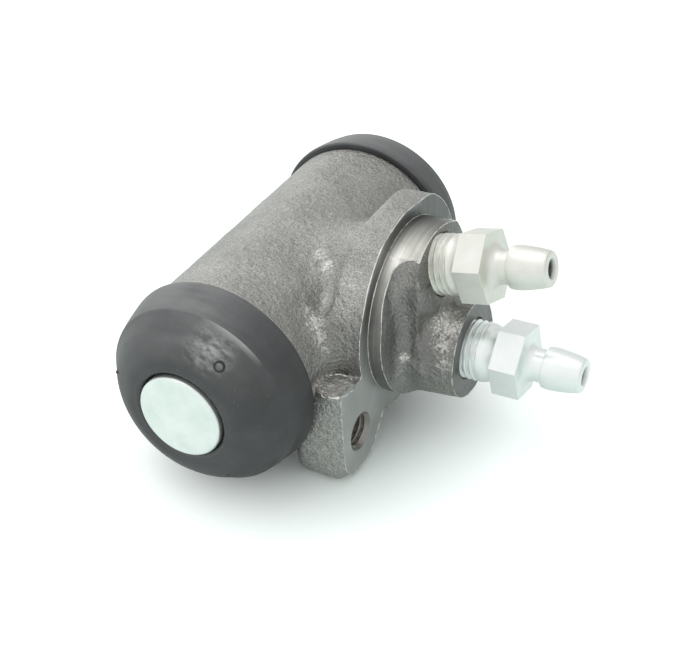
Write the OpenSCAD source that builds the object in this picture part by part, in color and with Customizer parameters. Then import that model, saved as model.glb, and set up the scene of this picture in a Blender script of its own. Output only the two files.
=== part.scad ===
// Drum-brake wheel cylinder with two bleed screws.
// Frame: origin at the pilot spigot's centre on the mounting face, +X out of that face,
// +Y along the bore, +Z up. Left and right are as seen facing the mounting face.
// All sizes are in millimetres.

/* [Barrel] */
// Diameter of the bore
bore_d = 22.2; // [20:0.1:23]
// Outside diameter of the cast barrel
barrel_d = 32; // [31:0.5:35]
// Length of the barrel from end face to end face
barrel_len = 58; // [56:1:70]
// Diameter of the turned seat for a boot at each end
seat_d = 29.2; // [28:0.1:30]
// Length of a boot seat
seat_len = 4.2; // [4:0.1:6]

/* [Mounting flange] */
// Distance from the bore axis to the mounting face
face_offset = 21.2; // [20:0.1:25]
// Height of the spigot's centre above the bore axis
spigot_rise = 3.8; // [2:0.1:6]
// Diameter of the pilot spigot
spigot_d = 29.5; // [28.5:0.1:31]
// Height of the pilot spigot above the mounting face
spigot_h = 1.8; // [1.2:0.1:3]
// Radius of the cast flange outline
flange_r = 17.9; // [17:0.1:20]
// Sideways offset of the cast outline from the spigot
flange_shift = 0.7; // [0:0.1:1]
// Height of the flat on top of the flange above the spigot's centre
flange_top = 16.3; // [15.5:0.1:18]
// Depth of the flange's straight lower edge below the spigot's centre
flange_foot = 15; // [14.5:0.1:17]
// Thickness of the flange
flange_t = 5.5; // [4:0.5:8]
// Radius of the tapered neck at the bore axis
neck_root_r = 10; // [9:0.1:11]
// Radius of the tapered neck at the back of the flange
neck_r = 13.7; // [12:0.1:14]
// Radius of the fillet from the neck to the back of the flange
neck_fillet = 3.6; // [2:0.1:4]

/* [Mounting ears] */
// Distance between the two mounting holes
hole_spacing = 37.4; // [36:0.1:40]
// Depth of the mounting holes below the spigot's centre
hole_drop = 13.3; // [12:0.1:15]
// Tapping diameter of the mounting holes
hole_d = 5; // [4:0.1:6]
// Diameter of the countersinks at the mounting holes
sink_d = 6.6; // [6.2:0.1:8]
// Depth of the mounting holes
hole_depth = 9; // [6:0.5:9]
// Radius of an ear's machined face about its hole
ear_face_r = 5.6; // [5:0.1:6]
// Distance from a hole to the cast side of its ear
ear_side = 5.7; // [5:0.1:6]
// Distance from a hole to the cast underside of its ear
ear_foot = 7.5; // [6.5:0.1:9]
// Height of an ear's top above its hole
ear_top = 10.3; // [8:0.1:12]
// Thickness of the ears
ear_t = 9.5; // [7:0.1:11]

/* [Ports] */
// Diameter of the two port bosses
boss_d = 16.6; // [15:0.1:17.5]
// Radius of the fillet at the foot of a boss
boss_fillet = 2.2; // [1:0.1:3]
// Draft angle of the cast bosses
boss_draft = 4; // [0:0.5:5]
// Stand-off of the web that joins the two bosses from the mounting face
web_reach = 5.6; // [3:0.1:6]
// Height of the upper boss face above the spigot's centre
upper_rise = 9; // [8:0.1:10]
// Stand-off of the upper boss face from the mounting face
upper_reach = 6.4; // [5:0.1:9]
// Upward tilt of the upper port
upper_tilt = 11; // [0:1:14]
// Depth of the lower port below the spigot's centre
lower_drop = 6; // [5:0.1:7]
// Stand-off of the lower boss face from the mounting face
lower_reach = 11.4; // [8:0.1:14]
// Diameter of the drillings from the ports into the bore
drill_d = 3; // [2:0.1:4]

/* [Bleed screws] */
// Thread diameter of a bleed screw
thread_d = 10; // [8:0.5:11]
// Width of the hexagon across its flats
hex_af = 11; // [11:0.5:13]
// Length of the hexagon
hex_len = 4.6; // [4:0.1:6]
// Length of the shank from the hexagon to the end of its cone
shank_len = 16; // [14:0.1:18]
// Shank that shows between the upper boss and its hexagon
upper_show = 4.5; // [3:0.1:6]
// Shank that shows between the lower boss and its hexagon
lower_show = 5.2; // [3:0.1:6]
// Angle to which the upper screw is turned
upper_turn = 10.6; // [0:0.1:60]
// Angle to which the lower screw is turned
lower_turn = 15.9; // [0:0.1:60]
// Largest diameter of the hose nipple
nipple_d = 7; // [6:0.1:8]
// Diameter of the neck behind the nipple
nipple_neck_d = 5.5; // [5:0.1:6]
// Length of the nipple from the hexagon to its tip
nipple_len = 9.4; // [8:0.1:12]
// Diameter of the passage along a screw
passage_d = 2.4; // [1.5:0.1:3]

/* [Pistons and seals] */
// Distance between the pistons' outer faces at rest
piston_span = 74.8; // [73:0.2:90]
// Diameter of a piston's nose
nose_d = 14.4; // [12:0.1:15]
// Distance between the pistons' inner faces at rest
piston_gap = 25; // [23:0.5:30]
// Length of the full-diameter part of a piston
skirt_len = 12.3; // [11:0.1:13]
// Depth of a cup seal from its back to its lip
cup_depth = 5.9; // [5:0.1:7]
// Thickness of a cup seal's back
cup_back = 2.8; // [2:0.1:3.5]
// Thickness of an expander's sheet
expander_t = 0.6; // [0.4:0.1:0.8]
// Wire diameter of the return spring
wire_d = 1.1; // [0.8:0.1:1.5]
// Mean diameter of the return spring's coils
coil_d = 10.6; // [9:0.1:11]
// Turns of the return spring
coil_turns = 5; // [3:1:7]

/* [Boots] */
// Diameter of a boot's rim
boot_d = 34; // [33.5:0.1:36]
// Distance between the outermost points of the two boots
boot_span = 73.8; // [72:0.2:84]
// Diameter of a boot at its crease
crease_d = 31; // [30.5:0.1:32]
// Distance from a boot's rim to its crease
crease_run = 6.6; // [6:0.1:7.5]
// Diameter of the hole in a boot's lip
lip_d = 15.2; // [15.1:0.1:16.5]
// Wall thickness of a boot's dome
boot_wall = 2.2; // [1.8:0.1:2.6]

/* [Hidden] */
$fn = 96;

// Clearances: piston and cup in the bore, thread in its hole, boot on its seat
piston_clear = 0.04;
cup_clear = 0.05;
thread_clear = 0.05;
boot_fit = 0.05;
seat_clear = 0.1;

bore_r = bore_d / 2;
barrel_r = barrel_d / 2;
seat_r = seat_d / 2;
spigot_r = spigot_d / 2;
boss_r = boss_d / 2;
thread_r = thread_d / 2;
nipple_r = nipple_d / 2;
half_barrel = barrel_len / 2;
shoulder = half_barrel - seat_len;
cut = 1;

// Chamfers and roundings of the casting
barrel_edge = 0.5;
bore_mouth = 0.8;
boss_edge = 0.6;
boss_root = 4;
ear_bevel = 2;
ear_foot_round = 2.5;
ear_top_round = 1.2;
ear_root = 6.4;
ear_root_r = 2;
ear_back_run = 2;
ear_back_share = 0.5;
slice_t = 0.02;

// How far the turned bosses lie inside the spigot's wall
port_relief = 0.2;

// Groove in a boot seat that takes the boot's bead
groove_depth = 0.9;
groove_from = shoulder + 0.3 * seat_len;
groove_to = shoulder + 0.7 * seat_len;
groove_r = seat_r - groove_depth;

// Cone at the end of a bleed screw, the plain pilot above it, and the neck behind the hexagon
cone_len = 2.4;
pilot_step = 1.4;
pocket_clear = 0.4;
cone_tip_r = 0.9;
pilot_len = 2;
pilot_r = thread_r - pilot_step;
waist_len = 3;
waist_r = thread_r - 1;
waist_bulge = 0.3;

cast_grey = [0.36, 0.35, 0.34];
rubber_black = [0.13, 0.13, 0.14];
cup_black = [0.08, 0.08, 0.08];
plated = [0.82, 0.84, 0.82];
steel = [0.62, 0.63, 0.65];

// Points of an arc about centre c, from angle a to angle b
function arc(c, r, a, b, n = 6) =
    [for (i = [0 : n]) c + r * [cos(a + (b - a) * i / n), sin(a + (b - a) * i / n)]];

// Points between p and q that bow out to the left of the line by s
function bow(p, q, s, n = 8) =
    let (d = q - p, m = [-d[1], d[0]] / norm(d))
    [for (i = [1 : n - 1]) p + d * i / n + m * s * 4 * i * (n - i) / (n * n)];

// Places what is drawn along +Z on the bore axis, from its middle towards +Y
module along_bore() {
    translate([-face_offset, 0, -spigot_rise]) rotate([-90, 0, 0]) children();
}

// Places a piece on the left (-1) or right (1) half of the bore
module on_side(side) {
    along_bore() mirror([0, 0, side < 0 ? 1 : 0]) children();
}

// Places what is drawn along +Z on the spigot's axis
module along_spigot() {
    rotate([0, 90, 0]) children();
}

// Places what is drawn in (Y, Z) and extruded along X, from x towards +X
module along_mount(x) {
    translate([x, 0, 0]) rotate([90, 0, 90]) children();
}

// Places a port's pieces: its axis on +Z, its boss face at z = 0
module at_upper_port() {
    translate([upper_reach, 0, upper_rise]) rotate([0, 90 - upper_tilt, 0]) children();
}
module at_lower_port() {
    translate([lower_reach, 0, -lower_drop]) rotate([0, 90, 0]) children();
}

// The barrel with its two boot seats, turned about the bore axis
module barrel() {
    half = [[barrel_r, 0], [barrel_r, shoulder - barrel_edge], [barrel_r - barrel_edge, shoulder],
            [seat_r, shoulder], [seat_r, groove_from], [groove_r, groove_from],
            [groove_r, groove_to], [seat_r, groove_to], [seat_r, half_barrel - barrel_edge],
            [seat_r - barrel_edge, half_barrel], [0, half_barrel]];
    lower = [for (i = [len(half) - 1 : -1 : 1]) [half[i][0], -half[i][1]]];
    along_bore() rotate_extrude() polygon(concat(lower, half));
}

// The band between the flange's flat top and its straight lower edge
module flange_band() {
    translate([-2 * flange_r, -flange_foot]) square([4 * flange_r, flange_foot + flange_top]);
}

module flange() {
    along_mount(-flange_t) linear_extrude(flange_t) intersection() {
        translate([flange_shift, 0]) circle(flange_r);
        flange_band();
    }
}

// The neck widens from the barrel to a fillet at the back of the flange
module neck() {
    taper = atan((neck_r - neck_root_r) / (face_offset - flange_t));
    corner = [neck_r + neck_fillet * (1 / cos(taper) - tan(taper)), -flange_t - neck_fillet];
    intersection() {
        along_spigot() rotate_extrude()
            polygon(concat([[0, -face_offset], [neck_root_r, -face_offset]],
                           arc(corner, neck_fillet, 180 - taper, 90), [[0, -flange_t]]));
        along_mount(-face_offset) linear_extrude(face_offset) flange_band();
    }
}

// One slice of an ear: discs at its corners, to be joined by a hull
module ear_slice(x, discs) {
    for (d = discs)
        along_mount(x) translate([d[0], d[1]]) cylinder(r = d[2], h = slice_t, $fn = 32);
}

// An ear on the left: a cast block, bevelled round its machined face and along its back
module left_ear() {
    hole = [-hole_spacing / 2, -hole_drop];
    top = hole[1] + ear_top - ear_top_round;
    side = hole[0] - ear_side;
    foot = hole[1] - ear_foot + ear_foot_round;
    root = [-ear_root, -ear_root];
    cast = [[side + ear_top_round, top, ear_top_round], [side + ear_foot_round, foot, ear_foot_round],
            [hole[0] + ear_side - ear_foot_round, foot, ear_foot_round], [root[0], root[1], ear_root_r]];
    face = [[side + ear_top_round, top, ear_top_round], [hole[0], hole[1], ear_face_r],
            [root[0], root[1], ear_root_r]];
    back = [for (d = cast) [d[0], d[1], d[2] * ear_back_share]];
    hull() {
        ear_slice(-ear_t, back);
        ear_slice(-ear_t + ear_back_run, cast);
        ear_slice(-ear_bevel, cast);
        ear_slice(-slice_t, face);
    }
}

// A port boss about its own axis: its face at z = 0, its foot h below, drafted on its side
module boss(h) {
    foot_r = boss_r + (h - boss_fillet) * tan(boss_draft);
    corner = [foot_r + boss_fillet, -h + boss_fillet];
    rotate_extrude()
        polygon(concat([[0, 0], [boss_r - boss_edge, 0], [boss_r, -boss_edge]],
                       arc(corner, boss_fillet, 180, 270),
                       [[foot_r + boss_fillet, -h - boss_root], [0, -h - boss_root]]));
}

// The web that joins the two bosses side to side
module boss_web() {
    along_mount(0) linear_extrude(web_reach)
        translate([-boss_r, -lower_drop]) square([2 * boss_r, lower_drop + upper_rise]);
}

// The spigot, and the port bosses that are turned to just inside its diameter
module spigot() {
    along_spigot() translate([0, 0, -flange_t / 2]) cylinder(r = spigot_r, h = spigot_h + flange_t / 2);
    intersection() {
        along_spigot() translate([0, 0, -flange_t])
            cylinder(r = spigot_r - port_relief, h = flange_t + 2 * lower_reach);
        union() {
            at_upper_port() boss((upper_reach - spigot_h) / cos(upper_tilt));
            at_lower_port() boss(lower_reach - spigot_h);
            boss_web();
        }
    }
}

// A port hole for a screw that shows "show" of its shank: thread, drill point and drilling
module port_hole(show, drilling) {
    seat = shank_len - show;
    thread_end = seat - cone_len - pilot_len / 2;
    hole_r = thread_r + thread_clear;
    pocket_r = pilot_r + pocket_clear;
    drill_r = drill_d / 2;
    point = pocket_r - drill_r;
    rotate_extrude()
        polygon([[0, cut], [hole_r, cut], [hole_r, -thread_end],
                 [pocket_r, -thread_end - (hole_r - pocket_r)], [pocket_r, -seat + cone_len - seat_clear],
                 [drill_r, -seat + cone_len - point - seat_clear], [drill_r, -drilling], [0, -drilling]]);
}

module mounting_hole(side) {
    sink = (sink_d - hole_d) / 2;
    hole_r = hole_d / 2;
    translate([0, side * hole_spacing / 2, -hole_drop]) along_spigot() rotate_extrude()
        polygon([[0, cut], [sink_d / 2 + cut, cut], [hole_r, -sink], [hole_r, -hole_depth],
                 [0, -hole_depth - hole_r * tan(30)]]);
}

module bore() {
    half = [[bore_r, 0], [bore_r, half_barrel - bore_mouth], [bore_r + bore_mouth, half_barrel],
            [bore_r + bore_mouth, half_barrel + cut], [0, half_barrel + cut]];
    lower = [for (i = [len(half) - 1 : -1 : 1]) [half[i][0], -half[i][1]]];
    along_bore() rotate_extrude() polygon(concat(lower, half));
}

module cylinder_body() {
    upper_drilling = (upper_reach + face_offset) / cos(upper_tilt);
    lower_drilling = lower_reach + face_offset;
    color(cast_grey) difference() {
        union() {
            barrel();
            neck();
            flange();
            left_ear();
            mirror([0, 1, 0]) left_ear();
            spigot();
        }
        bore();
        at_upper_port() port_hole(upper_show, upper_drilling);
        at_lower_port() port_hole(lower_show, lower_drilling);
        mounting_hole(-1);
        mounting_hole(1);
    }
}

// A piston: full diameter in the bore, a plain nose that stands out of the boot
module piston(side) {
    r = bore_r - piston_clear;
    inner = piston_gap / 2;
    outer = piston_span / 2;
    step = inner + skirt_len;
    edge = 0.5;
    nose_r = nose_d / 2;
    color(plated) on_side(side) rotate_extrude()
        polygon([[0, inner], [r - edge, inner], [r, inner + edge], [r, step - edge], [r - edge, step],
                 [nose_r, step], [nose_r, outer - edge], [nose_r - edge, outer], [0, outer]]);
}
module left_piston() { piston(-1); }
module right_piston() { piston(1); }

// A cup seal: its back on the piston, its lip towards the middle of the bore
cup_lip_t = 1.3;
cup_wall = 3.3;
cup_base_in = bore_r - cup_wall;
module cup_seal(side) {
    back = piston_gap / 2;
    lip = back - cup_depth;
    floor_y = back - cup_back;
    lip_r = bore_r - cup_clear;
    color(cup_black) on_side(side) rotate_extrude()
        polygon([[0, back], [lip_r - 0.4, back], [lip_r - 0.2, floor_y], [lip_r, lip + 0.4],
                 [lip_r - 0.4, lip], [lip_r - cup_lip_t, lip], [cup_base_in, floor_y], [0, floor_y]]);
}
module left_cup_seal() { cup_seal(-1); }
module right_cup_seal() { cup_seal(1); }

// A stamped expander: flat spring seat with a flared skirt inside the cup's lip
expander_in = 3.4;
module cup_expander(side) {
    seat = piston_gap / 2 - cup_back - seat_clear;
    skirt = seat - (cup_depth - cup_back) + 0.5;
    foot_r = cup_base_in - 2 * seat_clear;
    mouth_r = bore_r - cup_clear - cup_lip_t - 5 * seat_clear;
    color(steel) on_side(side) rotate_extrude()
        polygon([[expander_in, seat], [foot_r, seat], [mouth_r, skirt], [mouth_r - expander_t, skirt],
                 [foot_r - expander_t, seat - expander_t], [expander_in, seat - expander_t]]);
}
module left_cup_expander() { cup_expander(-1); }
module right_cup_expander() { cup_expander(1); }

// The return spring: a round wire swept along a helix between the two expanders
module return_spring() {
    sides = 8;
    per_turn = 14;
    rings = coil_turns * per_turn;
    reach = piston_gap / 2 - cup_back - 2 * seat_clear - expander_t - wire_d / 2;
    coil_r = coil_d / 2;
    wire_r = wire_d / 2;
    lean = atan(2 * reach / (coil_turns * PI * coil_d));
    points = [for (k = [0 : rings]) let (a = 360 * k / per_turn, z = reach * (2 * k / rings - 1))
              for (j = [0 : sides - 1])
              let (b = 360 * j / sides, out = coil_r + wire_r * cos(b), up = wire_r * sin(b))
              [out * cos(a) + up * sin(lean) * sin(a), out * sin(a) - up * sin(lean) * cos(a),
               z + up * cos(lean)]];
    walls = [for (k = [0 : rings - 1]) for (j = [0 : sides - 1]) let (n = (j + 1) % sides)
             [k * sides + j, k * sides + n, (k + 1) * sides + n, (k + 1) * sides + j]];
    first = [for (j = [sides - 1 : -1 : 0]) j];
    last = [for (j = [0 : sides - 1]) rings * sides + j];
    color(steel) along_bore() polyhedron(points, concat(walls, [first, last]));
}

// Step and land inside a boot, beyond the barrel's end, and the roll and undercut of its lip
boot_step = 1.2;
boot_land = 2;
lip_roll = 1.3;
lip_undercut = 1.1;

// A dust boot: rim over the boot seat, crease, dome and a lip round the piston's nose
module dust_boot(side) {
    rim_y = shoulder + boot_fit;
    rim_r = boot_d / 2;
    crease = [crease_d / 2, rim_y + crease_run];
    notch = 0.25;
    tip = boot_span / 2;
    lip_r = lip_d / 2;
    crown = [lip_r + lip_roll, tip];
    before = crease + [notch, -2 * notch];
    after = crease + [notch / 2, 2 * notch];
    inside_r = seat_r - boot_step;
    end_y = half_barrel + boot_fit;
    throat = [lip_r + lip_undercut, tip - 0.9 - boot_wall];
    seat = seat_r + boot_fit;
    bead = groove_r + boot_fit;
    outer = concat([[rim_r - 0.4, rim_y], [rim_r, rim_y + 0.4]],
                   bow([rim_r, rim_y + 0.4], before, -0.25), [before, crease, after],
                   bow(after, crown, -0.9), arc(crown - [0, lip_roll], lip_roll, 90, 180));
    inner = concat([throat], bow(throat, [inside_r, end_y + boot_land], 0.5),
                   [[inside_r, end_y], [seat, end_y], [seat, groove_to - boot_fit],
                    [bead, groove_to - boot_fit], [bead, groove_from + boot_fit],
                    [seat, groove_from + boot_fit], [seat, rim_y]]);
    color(rubber_black) on_side(side) rotate_extrude() polygon(concat(outer, inner));
}
module left_dust_boot() { dust_boot(-1); }
module right_dust_boot() { dust_boot(1); }

// A bleed screw about +Z, with the back of its hexagon at z = 0
module bleed_screw_form() {
    corner_r = hex_af / sqrt(3);
    chamfer = 0.2;
    neck_r = nipple_neck_d / 2;
    tip = hex_len + nipple_len;
    tip_round = 0.5;
    tip_r = nipple_r - 0.6;
    flare = 1.6;
    step = hex_len + 0.32 * nipple_len;
    step_r = nipple_r - 0.35;
    widest = hex_len + 0.52 * nipple_len;
    pilot_top = -shank_len + cone_len + pilot_len;
    cross = -shank_len + cone_len + pilot_len / 2;
    edge = 0.5;
    difference() {
        union() {
            intersection() {
                cylinder(r = corner_r, h = hex_len, $fn = 6);
                rotate_extrude() polygon([[0, 0], [corner_r - chamfer, 0], [corner_r, chamfer],
                    [corner_r, hex_len - chamfer], [corner_r - chamfer, hex_len], [0, hex_len]]);
            }
            rotate_extrude()
                polygon(concat([[0, -shank_len], [cone_tip_r, -shank_len],
                    [pilot_r - edge, -shank_len + cone_len], [pilot_r, -shank_len + cone_len + edge],
                    [pilot_r, pilot_top], [thread_r - edge, pilot_top], [thread_r, pilot_top + edge],
                    [thread_r, -waist_len]], bow([thread_r, -waist_len], [waist_r, 0], -waist_bulge),
                    [[waist_r, cut], [neck_r + flare, hex_len - edge]],
                    arc([neck_r + flare, hex_len + flare], flare, 270, 180),
                    [[neck_r, step - 0.1], [step_r, step], [nipple_r, widest]],
                    arc([tip_r - tip_round, tip - tip_round], tip_round, 0, 90),
                    [[0, tip]]));
        }
        translate([0, 0, cross]) cylinder(d = passage_d, h = shank_len + tip, $fn = 48);
        translate([0, 0, cross]) rotate([90, 0, 0])
            cylinder(d = passage_d * 0.8, h = 4 * thread_r, center = true, $fn = 48);
    }
}
module upper_bleed_screw() {
    color(plated) at_upper_port() translate([0, 0, upper_show]) rotate([0, 0, upper_turn]) bleed_screw_form();
}
module lower_bleed_screw() {
    color(plated) at_lower_port() translate([0, 0, lower_show]) rotate([0, 0, lower_turn]) bleed_screw_form();
}

cylinder_body();
left_piston();
right_piston();
left_cup_seal();
right_cup_seal();
left_cup_expander();
right_cup_expander();
return_spring();
left_dust_boot();
right_dust_boot();
upper_bleed_screw();
lower_bleed_screw();
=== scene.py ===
import math

import bmesh
import bpy
import numpy as np
from mathutils import Matrix, Vector, noise


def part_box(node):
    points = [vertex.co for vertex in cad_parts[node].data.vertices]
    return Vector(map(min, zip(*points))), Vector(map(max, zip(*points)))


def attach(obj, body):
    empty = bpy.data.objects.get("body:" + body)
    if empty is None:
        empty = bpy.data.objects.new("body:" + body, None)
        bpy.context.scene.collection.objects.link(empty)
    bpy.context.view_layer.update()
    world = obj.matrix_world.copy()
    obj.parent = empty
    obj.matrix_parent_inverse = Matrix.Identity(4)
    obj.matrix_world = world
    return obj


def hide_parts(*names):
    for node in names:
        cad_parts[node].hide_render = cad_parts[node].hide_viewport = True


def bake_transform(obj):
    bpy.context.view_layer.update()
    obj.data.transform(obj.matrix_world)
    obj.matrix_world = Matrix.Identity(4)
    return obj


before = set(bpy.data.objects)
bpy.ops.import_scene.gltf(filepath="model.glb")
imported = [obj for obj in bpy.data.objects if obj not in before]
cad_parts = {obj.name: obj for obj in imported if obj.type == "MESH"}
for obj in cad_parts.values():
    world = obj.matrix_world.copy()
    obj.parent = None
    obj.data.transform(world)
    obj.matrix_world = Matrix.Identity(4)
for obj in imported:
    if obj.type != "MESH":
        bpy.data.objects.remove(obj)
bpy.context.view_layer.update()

# All lengths below are in millimetres, in the frame of the CAD model.
MM = 0.001
BORE_X, BORE_Z = -21.2, -3.8
BARREL_R, SHOULDER, SEAT_R, BARREL_END = 16.0, 24.8, 14.6, 29.0
BORE_R = 11.1
SPIGOT_R, SPIGOT_H = 14.75, 1.8
FLANGE_R, FLANGE_SHIFT, FLANGE_TOP, FLANGE_FOOT, FLANGE_T = 17.9, 0.7, 16.3, 15.0, 5.5
NECK_ROOT_R, NECK_R = 10.0, 13.1
HOLE_Y, HOLE_Z = 18.7, -13.3
BOSS_R = 8.3
BOSS_DRAFT = math.radians(4)
UPPER_TILT = math.radians(11)
UPPER_FACE = np.array([6.4, 0.0, 9.0])
UPPER_AXIS = np.array([math.cos(UPPER_TILT), 0.0, math.sin(UPPER_TILT)])
LOWER_FACE = np.array([11.4, 0.0, -6.0])
LOWER_AXIS = np.array([1.0, 0.0, 0.0])
WEB_REACH = 5.6
PART_Z = -4.6
UPPER_CUT_Z = 8.5
NECK_BLEND, EAR_BLEND, BOSS_BLEND, BLOCK_BLEND = 3.6, 0.8, 2.0, 2.2
MOULD_MARK = (-13.95, -35.12, 6.47)
GATE, GATE_SIZE = (-2.2, -21.8, -3.2), (2.9, 3.0)

# Spots of painted glints: a centre, the distance up to which a spot is full, and the distance at which it is
# gone.
GLINT_SPOTS = (
    ((-12.0, -6.8, 10.1), 0.2, 2.0), ((-10.0, -8.3, 9.5), 0.2, 2.0), ((-9.0, -17.2, 6.5), 0.3, 2.2),
    ((-7.9, -17.9, 5.0), 0.6, 2.4), ((-6.9, -18.4, 3.2), 0.9, 2.4), ((-6.2, -18.4, 1.4), 0.8, 2.2),
    ((-3.6, -13.4, 11.0), -3.0, 4.0), ((-4.0, -15.6, 7.4), -2.4, 3.6), ((9.0, -3.4, 1.9), 0.8, 2.6),
    ((8.6, -5.2, 0.8), 1.0, 2.6), ((9.2, -6.9, -1.4), 0.2, 2.6), ((10.0, -8.0, -4.0), -0.6, 2.4),
    ((10.2, -4.8, 0.9), 0.8, 2.2), ((3.26, -8.79, -4.25), 0.6, 1.3))
# Painted light: the near ear's side made paler, as if lit from the floor, and a painted glint on the flange's
# rim.
LIT_SPOTS = (((-3, -22, -13), 6.0, 12.0), ((-3.0, -14.2, 9.5), 2.0, 5.5))
# Painted shade: spots darkened where the port block and a hollow by the flange lie in shade.
SHADE_SPOTS = (((6.0, -9.0, 2.0), 5.0, 12.0), ((-5.6, -16.2, 3.2), -1.0, 4.2), ((7.0, 4.0, 13.5), 3.0, 7.0))

# Where the burrs are thickest and most brightened, as a painted highlight, and points inside the mouths of
# the nipples
HIGHLIGHT_EDGE = (0.0, -13.0, 11.0)
UPPER_MOUTH, LOWER_MOUTH = (23.87, 0, 12.4), (29.9, 0, -6)

FLOOR_Z = -20.8
THREAD_R = 5.0

# Order of the casting's materials
CAST, MACHINED, TURNED, DRILLED, FACED = range(5)


# Mesh helpers

def make_object(name, verts, faces):
    """A mesh object from points in millimetres."""
    mesh = bpy.data.meshes.new(name)
    mesh.from_pydata((np.asarray(verts, float) * MM).tolist(), [], faces)
    mesh.validate()
    mesh.update()
    obj = bpy.data.objects.new(name, mesh)
    bpy.context.scene.collection.objects.link(obj)
    return obj


def axes_matrix(origin, z_axis, x_axis):
    """Rotation and origin that take local z to z_axis, and local x near x_axis."""
    z = np.asarray(z_axis, float)
    z = z / np.linalg.norm(z)
    x = np.asarray(x_axis, float)
    x = x - z * (x @ z)
    x = x / np.linalg.norm(x)
    return np.stack([x, np.cross(z, x), z], 1), np.asarray(origin, float)


def place(verts, where):
    """Points moved by what axes_matrix gives."""
    turn, origin = where
    return np.asarray(verts, float) @ turn.T + origin


def lathe(profile, segments, closed=False):
    """Vertices and faces of a profile of (radius, height) turned about z. Radius 0 is a pole."""
    angle = np.linspace(0, 2 * np.pi, segments, endpoint=False)
    ring = np.stack([np.cos(angle), np.sin(angle)], 1)
    verts, starts = [], []
    for r, h in profile:
        starts.append(len(verts))
        if r < 1e-6:
            verts.append((0, 0, h))
        else:
            verts.extend((r * c, r * s, h) for c, s in ring)
    faces = []
    pairs = list(zip(range(len(profile)), range(1, len(profile))))
    if closed:
        pairs.append((len(profile) - 1, 0))
    for a, b in pairs:
        pole_a, pole_b = profile[a][0] < 1e-6, profile[b][0] < 1e-6
        for i in range(segments):
            j = (i + 1) % segments
            if pole_a and pole_b:
                continue
            if pole_a:
                faces.append((starts[a], starts[b] + j, starts[b] + i))
            elif pole_b:
                faces.append((starts[a] + i, starts[a] + j, starts[b]))
            else:
                faces.append((starts[a] + i, starts[a] + j, starts[b] + j, starts[b] + i))
    return np.array(verts), faces


def turned_field(radius, heights, segments, bottom=None, top=None):
    """A turned surface whose radius depends on angle and height, closed by poles at its ends."""
    angle = np.linspace(0, 2 * np.pi, segments, endpoint=False)
    heights = np.asarray(heights, float)
    a, h = np.meshgrid(angle, heights)
    r = radius(a, h)
    verts = np.stack([r * np.cos(a), r * np.sin(a), h], -1).reshape(-1, 3)
    n, m = len(heights), segments
    faces = []
    for k in range(n - 1):
        for i in range(m):
            j = (i + 1) % m
            faces.append((k * m + i, k * m + j, (k + 1) * m + j, (k + 1) * m + i))
    extra = []
    if bottom is not None:
        extra.append((0, 0, bottom))
        pole = n * m
        faces.extend((pole, (i + 1) % m, i) for i in range(m))
    if top is not None:
        extra.append((0, 0, top))
        pole = n * m + len(extra) - 1
        last = (n - 1) * m
        faces.extend((pole, last + i, last + (i + 1) % m) for i in range(m))
    return np.concatenate([verts, np.array(extra)]) if extra else verts, faces


def apply_modifiers(obj):
    graph = bpy.context.evaluated_depsgraph_get()
    mesh = bpy.data.meshes.new_from_object(obj.evaluated_get(graph))
    old = obj.data
    obj.modifiers.clear()
    obj.data = mesh
    bpy.data.meshes.remove(old)


def boolean(obj, cutters, operation="DIFFERENCE"):
    """Cuts or joins the cutters, then removes them."""
    for cutter in cutters:
        modifier = obj.modifiers.new("boolean", "BOOLEAN")
        modifier.operation = operation
        modifier.object = cutter
        modifier.solver = "MANIFOLD"
    bpy.context.view_layer.update()
    apply_modifiers(obj)
    for cutter in cutters:
        mesh = cutter.data
        bpy.data.objects.remove(cutter)
        bpy.data.meshes.remove(mesh)


def one_material(obj, material):
    obj.data.materials.clear()
    obj.data.materials.append(material)
    obj.data.polygons.foreach_set("material_index", np.zeros(len(obj.data.polygons), np.int32))


def shade(obj, degrees=35):
    obj.data.shade_smooth()
    obj.data.set_sharp_from_angle(angle=math.radians(degrees))


# Signed distance fields of the casting

def smin(a, b, k):
    """The smaller of two fields, blended over a width k."""
    h = np.clip(0.5 + 0.5 * (b - a) / k, 0, 1)
    return b * (1 - h) + a * h - k * h * (1 - h)


def smax(a, b, k):
    return -smin(-a, -b, k)


def ear_planes():
    """Planes of the left ear: a cast block, bevelled towards its machined face and rounded along its back."""
    top_round, foot_round, root_r, bevel, thick, back_round = 1.2, 2.5, 1.2, 2.0, 9.5, 2.0
    side, top, foot = -HOLE_Y - 5.7, HOLE_Z + 10.3, HOLE_Z - 7.5
    root = (-6.4, -6.4)
    cast = [(side + top_round, top - top_round, top_round),
            (side + foot_round, foot + foot_round, foot_round),
            (-HOLE_Y + 5.7 - foot_round, foot + foot_round, foot_round), (*root, root_r)]
    face = [(side + top_round, top - top_round, top_round), (-HOLE_Y, HOLE_Z, 5.6), (*root, root_r)]
    slices = [(-bevel, cast, 0.0), (0.0, face, 0.0), (2.0, face, 0.0)]
    for turn in np.radians([0, 25, 50, 75, 90]):
        slices.append((-thick + back_round * (1 - math.cos(turn)), cast, back_round * (1 - math.sin(turn))))
    points = []
    for x, discs, inset in slices:
        for y, z, r in discs:
            r = max(r - inset, 0.2)
            for angle in np.linspace(0, 2 * np.pi, 20, endpoint=False):
                points.append((x, y + r * math.cos(angle), z + r * math.sin(angle)))
    bm = bmesh.new()
    for p in points:
        bm.verts.new(p)
    bmesh.ops.convex_hull(bm, input=bm.verts)
    planes = {}
    for f in bm.faces:
        n = np.array(f.normal)
        d = float(n @ np.array(f.verts[0].co))
        planes[tuple(np.round(n, 3)) + (round(d, 2),)] = (n, d)
    bm.free()
    return np.array([n for n, d in planes.values()]), np.array([d for n, d in planes.values()])


EAR_N, EAR_D = ear_planes()


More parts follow.
